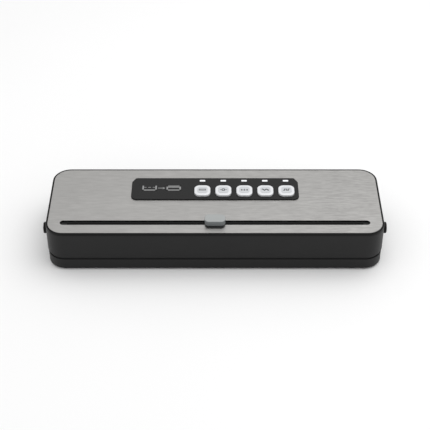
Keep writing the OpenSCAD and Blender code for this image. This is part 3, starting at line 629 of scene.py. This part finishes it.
# The finger dish: shares of the knob's width, and depths in millimetres
KNOB_DISH = ((0.76, 0.03), (0.68, 0.1), (0.55, 0.2), (0.4, 0.27), (0.2, 0.3))
KNOB_DISH_MIDDLE = 0.31 * MM


def knob_piece():
    """The grey grip, rounded at its foot and its top, with a shallow dish for the finger."""
    lo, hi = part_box("cutter_knob")
    centre = box_middle(lo, hi)
    w, d = hi.x - lo.x, hi.y - lo.y
    loops = []
    for i in range(FOOT_STEPS + 1):
        a = math.radians(90 * i / FOOT_STEPS)
        inset = FOOT_EDGE * (1 - math.sin(a))
        z = lo.z + FOOT_EDGE * (1 - math.cos(a))
        loops.append(rounded_loop(w - 2 * inset, d - 2 * inset, KNOB_R - inset, z, centre))
    for i in range(TOP_STEPS + 1):
        a = math.radians(90 * i / TOP_STEPS)
        inset = TOP_EDGE * (1 - math.cos(a))
        z = hi.z - TOP_EDGE + TOP_EDGE * math.sin(a)
        loops.append(rounded_loop(w - 2 * inset, d - 2 * inset, KNOB_R - inset, z, centre))
    for share, sink in KNOB_DISH:
        loops.append(rounded_loop(w * share, d * share, KNOB_R * share, hi.z - sink * MM, centre))
    bm = bmesh.new()
    loft(bm, loops, tip=(*centre, hi.z - KNOB_DISH_MIDDLE))
    new_piece("cutter_knob_grip", bm, mats["knob_grey"], "cutter", ["cutter_knob"])


knob_piece()

# ---------- Latch springs -----------------------------------------------

SPRING_TURNS = 5
SPRING_STEPS = 24
SPRING_SIDES = 8
SPRING_WIRE = 0.4 * MM


def wire_ring(x, turn, coil_r, cy, cz):
    """One ring of points round the wire of a coil that runs along X."""
    points = []
    for i in range(SPRING_SIDES):
        a = 2 * math.pi * i / SPRING_SIDES
        r = coil_r + SPRING_WIRE * math.cos(a)
        y, z = cy + r * math.cos(turn), cz + r * math.sin(turn)
        points.append(Vector((x + SPRING_WIRE * math.sin(a), y, z)))
    return points


def spring_piece(side):
    """A coil spring along X, as long as the spring part."""
    spring, joint = "latch_spring_" + side, "release_" + side + "_press"
    lo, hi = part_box(spring)
    cy, cz = (lo.y + hi.y) / 2, (lo.z + hi.z) / 2
    coil_r = (hi.z - lo.z) / 2 - SPRING_WIRE
    run = hi.x - lo.x - 2 * SPRING_WIRE
    count = SPRING_TURNS * SPRING_STEPS
    loops = []
    for i in range(count + 1):
        turn = 2 * math.pi * i / SPRING_STEPS
        loops.append(wire_ring(lo.x + SPRING_WIRE + run * i / count, turn, coil_r, cy, cz))
    bm = bmesh.new()
    loft(bm, loops)
    piece = new_piece(spring + "_coil", bm, mats["spring_steel"], "lid", [spring])
    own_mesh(piece)


for side in ("left", "right"):
    spring_piece(side)

# ---------- Floor, lights, camera ----------

FLOOR_SIZE = 6
FLOOR_CELLS = 8
FLOOR_CLOUD = 3.0
WORLD_STRENGTH = 0.82
LIGHT_AT = (0.4, 0.15, 1.4)
LIGHT_SIZE = 1.5
LIGHT_POWER = 9.5
EYE_AT = (0, -1.0365, 0.8926)
EYE_DOWN = 39.7
SENSOR = 36
NEAREST = 0.05
# The focal length, as a share of the picture's width
FOCAL_SHARE = 2.6976744


def floor_piece():
    """A plain matt floor, with a faint change of tone."""
    tree, shader = material("floor")
    shader.inputs["Roughness"].default_value = 0.9
    shader.inputs["Specular IOR Level"].default_value = 0.1
    paper = noise(tree, object_coords(tree, EVEN), FLOOR_CLOUD, detail=2.0)
    feed(tree, shader.inputs["Base Color"], ramp(tree, paper, [(0.3, 0.9), (0.7, 0.91)]))
    bm = bmesh.new()
    bmesh.ops.create_grid(bm, x_segments=FLOOR_CELLS, y_segments=FLOOR_CELLS, size=FLOOR_SIZE)
    floor = mesh_object("floor", bm, mats["floor"])


def world_light():
    world = bpy.data.worlds.new("studio")
    bpy.context.scene.world = world
    world.use_nodes = True
    background = world.node_tree.nodes["Background"]
    background.inputs["Color"].default_value = (1, 1, 1, 1)
    background.inputs["Strength"].default_value = WORLD_STRENGTH


def key_light():
    """One large square light, aimed at the middle of the floor."""
    light = bpy.data.lights.new("key_light", "AREA")
    light.shape = "RECTANGLE"
    light.size = LIGHT_SIZE
    light.size_y = LIGHT_SIZE
    light.energy = LIGHT_POWER
    obj = bpy.data.objects.new("key_light", light)
    obj.location = LIGHT_AT
    obj.rotation_euler = (-Vector(LIGHT_AT)).to_track_quat("-Z", "Y").to_euler()
    bpy.context.scene.collection.objects.link(obj)


def photo_camera():
    """The camera of the photo: in front of the object, above it and looking down."""
    camera = bpy.data.cameras.new("camera")
    camera.sensor_width = SENSOR
    camera.lens = FOCAL_SHARE * SENSOR
    camera.clip_start = NEAREST
    eye = bpy.data.objects.new("camera", camera)
    eye.location = EYE_AT
    eye.rotation_euler = (math.radians(90 - EYE_DOWN), 0, 0)
    bpy.context.scene.collection.objects.link(eye)
    bpy.context.scene.camera = eye


floor_piece()
world_light()
key_light()
photo_camera()
bpy.context.scene.view_settings.view_transform = "Standard"
